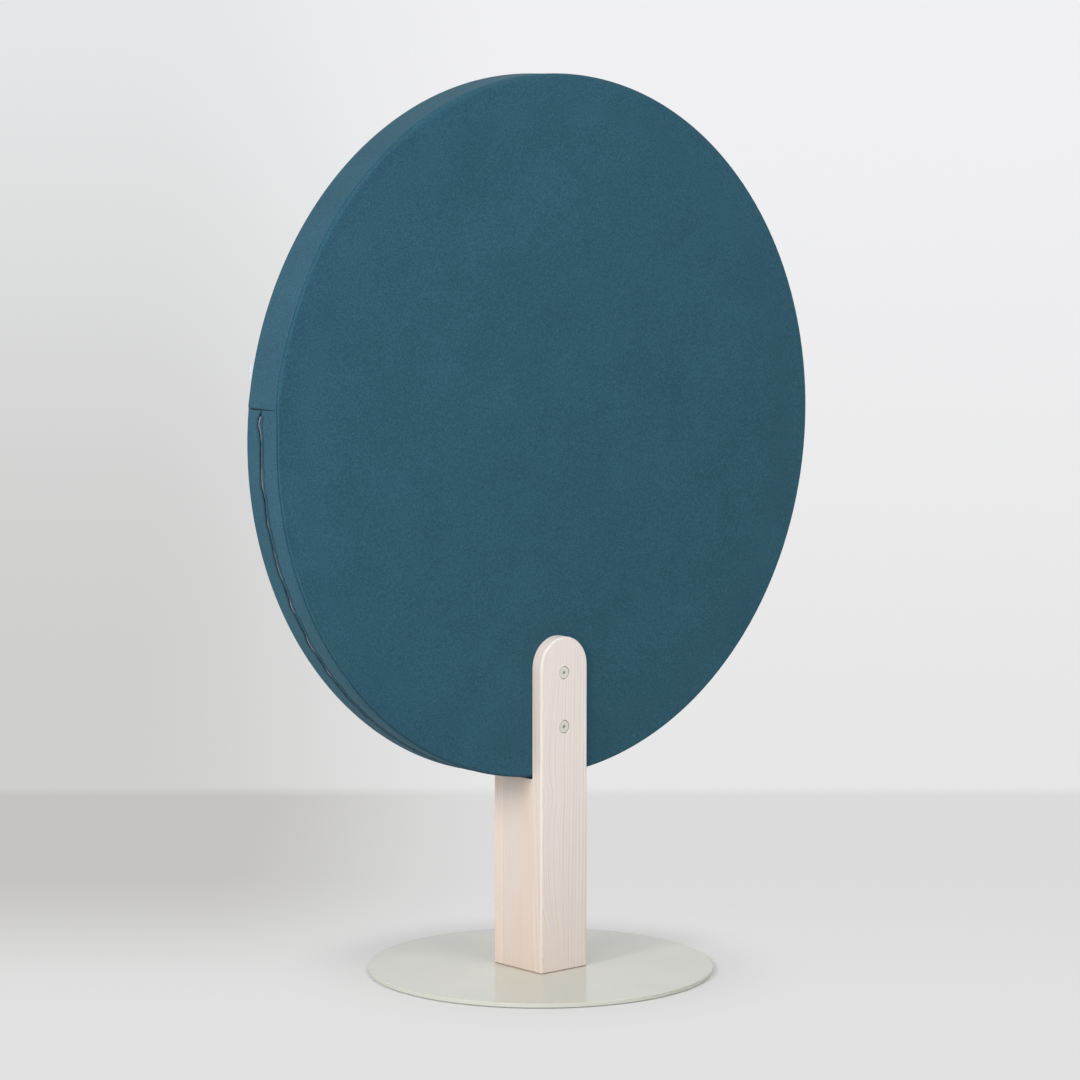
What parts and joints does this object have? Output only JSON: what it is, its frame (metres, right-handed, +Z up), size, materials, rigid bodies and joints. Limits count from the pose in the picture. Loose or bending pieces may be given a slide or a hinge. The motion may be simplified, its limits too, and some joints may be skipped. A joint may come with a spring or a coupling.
{
  "type": "acoustic divider screen",
  "caption": "Round upholstered acoustic divider screen, clamped in a forked ash post on a round flat base plate, with a zip along the lower rim of its cover.",
  "frame": {"origin": "on the floor, under the middle of the base plate", "axes": "+Z up; X runs across the panel's face; the front of the screen faces -Y; the zip's slider is on the +X side"},
  "size_m": [1.0036, 0.5, 1.29],
  "materials": {
    "floor_felt": "matte",
    "base_coating": "satin",
    "zinc_steel": "satin",
    "insert_brass": "satin",
    "ash_wood": "matte",
    "bolt_coating": "satin",
    "eyelet_brass": "satin",
    "frame_wood": "matte",
    "absorber_felt": "matte",
    "wadding": "matte",
    "cover_fabric": "matte",
    "border_fabric": "matte",
    "zip_tape": "matte",
    "zip_coil": "satin",
    "zip_metal": "satin",
    "label_tape": "matte"
  },
  "bodies": {
    "screen": {"floor_felt": "floor_felt", "base_plate": "base_coating", "base_screws": "zinc_steel", "post_inserts": "insert_brass", "cheek_front": "ash_wood", "cheek_back": "ash_wood", "core_board_front": "ash_wood", "core_board_middle": "ash_wood", "core_board_back": "ash_wood", "clamp_bolts": "bolt_coating", "sleeve_nuts": "bolt_coating", "spacer_tubes": "zinc_steel", "cover_eyelets": "eyelet_brass", "frame_screws": "zinc_steel", "frame_hoop": "frame_wood", "mounting_block": "frame_wood", "spine_rail": "frame_wood", "cross_rail": "frame_wood", "spine_dowels": "frame_wood", "absorber_lower_left": "absorber_felt", "absorber_lower_right": "absorber_felt", "absorber_upper_left": "absorber_felt", "absorber_upper_right": "absorber_felt", "wadding_front": "wadding", "wadding_back": "wadding", "rim_wadding": "wadding", "cover_front": "cover_fabric", "cover_back": "cover_fabric", "border_upper": "border_fabric", "border_lower_front": "border_fabric", "border_lower_back": "border_fabric", "zip_tape_front": "zip_tape", "zip_tape_back": "zip_tape", "zip_chain": "zip_coil", "zip_stops": "zip_metal", "seam_label": "label_tape"},
    "zip_slider": {"zip_slider": "zip_metal"},
    "zip_pull": {"zip_pull": "zip_metal"}
  },
  "joints": [
    {"name": "zip_slide", "type": "hinge", "parent": "screen", "child": "zip_slider", "pos_m": [0, 0, 0.79], "axis": [0, 1, 0], "range_deg": [0, 86], "deforming": ["zip_chain"]},
    {"name": "pull_swing", "type": "hinge", "parent": "zip_slider", "child": "zip_pull", "pos_m": [0.50079, 0, 0.83025], "axis": [0, -1, 0], "range_deg": [0, 175]}
  ]
}
